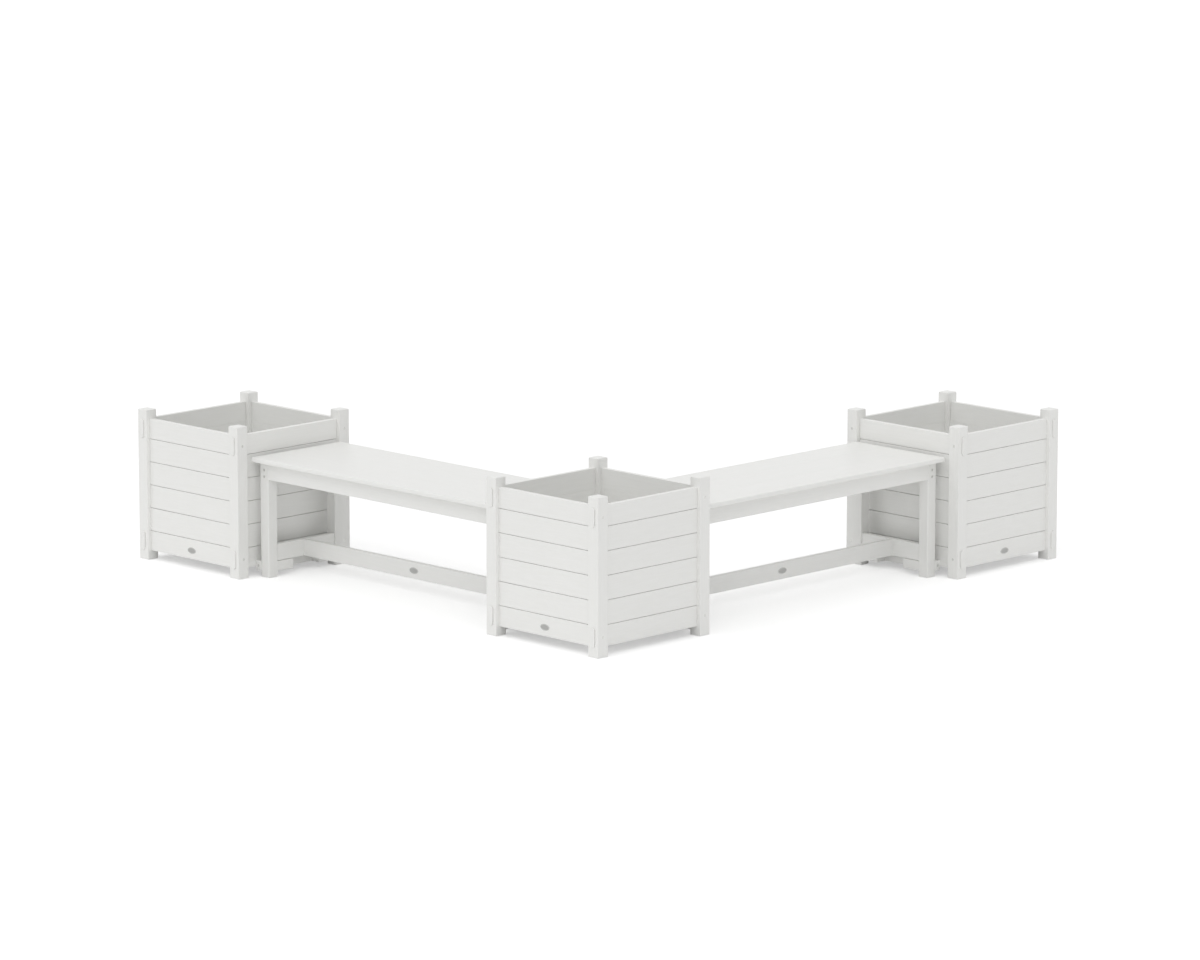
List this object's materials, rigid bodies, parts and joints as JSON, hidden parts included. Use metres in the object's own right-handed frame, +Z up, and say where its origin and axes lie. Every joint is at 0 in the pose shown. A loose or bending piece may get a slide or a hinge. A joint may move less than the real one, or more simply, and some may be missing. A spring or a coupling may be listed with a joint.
{
  "type": "bench with planter",
  "caption": "Corner garden bench set in white plastic lumber: straight benches run between square board-walled planters and join them into an L.",
  "frame": {"origin": "on the ground, in the middle of the square that the set fills", "axes": "+Z up; the right bench runs along +X from the corner planter and the left bench along +Y"},
  "size_m": [2.4804, 2.4804, 0.5805],
  "materials": {
    "post_lumber": "satin white plastic lumber with a faint embossed grain",
    "wall_lumber": "satin white plastic lumber with a faint embossed grain",
    "floor_lumber": "satin white plastic board",
    "seat_lumber": "satin white plastic lumber with a faint embossed grain",
    "frame_lumber": "satin white plastic lumber with a faint embossed grain"
  },
  "bodies": {
    "root": {"corner_floor_panel": "floor_lumber", "corner_post_back": "post_lumber", "corner_post_front": "post_lumber", "corner_post_left": "post_lumber", "corner_post_right": "post_lumber", "corner_wall_back_left": "wall_lumber", "corner_wall_back_right": "wall_lumber", "corner_wall_front_left": "wall_lumber", "corner_wall_front_right": "wall_lumber", "left_bench_apron_back": "frame_lumber", "left_bench_apron_front": "frame_lumber", "left_bench_apron_inner": "frame_lumber", "left_bench_apron_outer": "frame_lumber", "left_bench_leg_inner_back": "frame_lumber", "left_bench_leg_inner_front": "frame_lumber", "left_bench_leg_outer_back": "frame_lumber", "left_bench_leg_outer_front": "frame_lumber", "left_bench_seat_plank_back": "seat_lumber", "left_bench_seat_plank_front": "seat_lumber", "left_bench_seat_plank_middle": "seat_lumber", "left_bench_stretcher_inner": "frame_lumber", "left_bench_stretcher_long": "frame_lumber", "left_bench_stretcher_outer": "frame_lumber", "left_bench_tie_rail_inner": "frame_lumber", "left_bench_tie_rail_outer": "frame_lumber", "left_floor_panel": "floor_lumber", "left_post_back": "post_lumber", "left_post_front": "post_lumber", "left_post_left": "post_lumber", "left_post_right": "post_lumber", "left_wall_back_left": "wall_lumber", "left_wall_back_right": "wall_lumber", "left_wall_front_left": "wall_lumber", "left_wall_front_right": "wall_lumber", "right_bench_apron_back": "frame_lumber", "right_bench_apron_front": "frame_lumber", "right_bench_apron_inner": "frame_lumber", "right_bench_apron_outer": "frame_lumber", "right_bench_leg_inner_back": "frame_lumber", "right_bench_leg_inner_front": "frame_lumber", "right_bench_leg_outer_back": "frame_lumber", "right_bench_leg_outer_front": "frame_lumber", "right_bench_seat_plank_back": "seat_lumber", "right_bench_seat_plank_front": "seat_lumber", "right_bench_seat_plank_middle": "seat_lumber", "right_bench_stretcher_inner": "frame_lumber", "right_bench_stretcher_long": "frame_lumber", "right_bench_stretcher_outer": "frame_lumber", "right_bench_tie_rail_inner": "frame_lumber", "right_bench_tie_rail_outer": "frame_lumber", "right_floor_panel": "floor_lumber", "right_post_back": "post_lumber", "right_post_front": "post_lumber", "right_post_left": "post_lumber", "right_post_right": "post_lumber", "right_wall_back_left": "wall_lumber", "right_wall_back_right": "wall_lumber", "right_wall_front_left": "wall_lumber", "right_wall_front_right": "wall_lumber"}
  },
  "joints": []
}
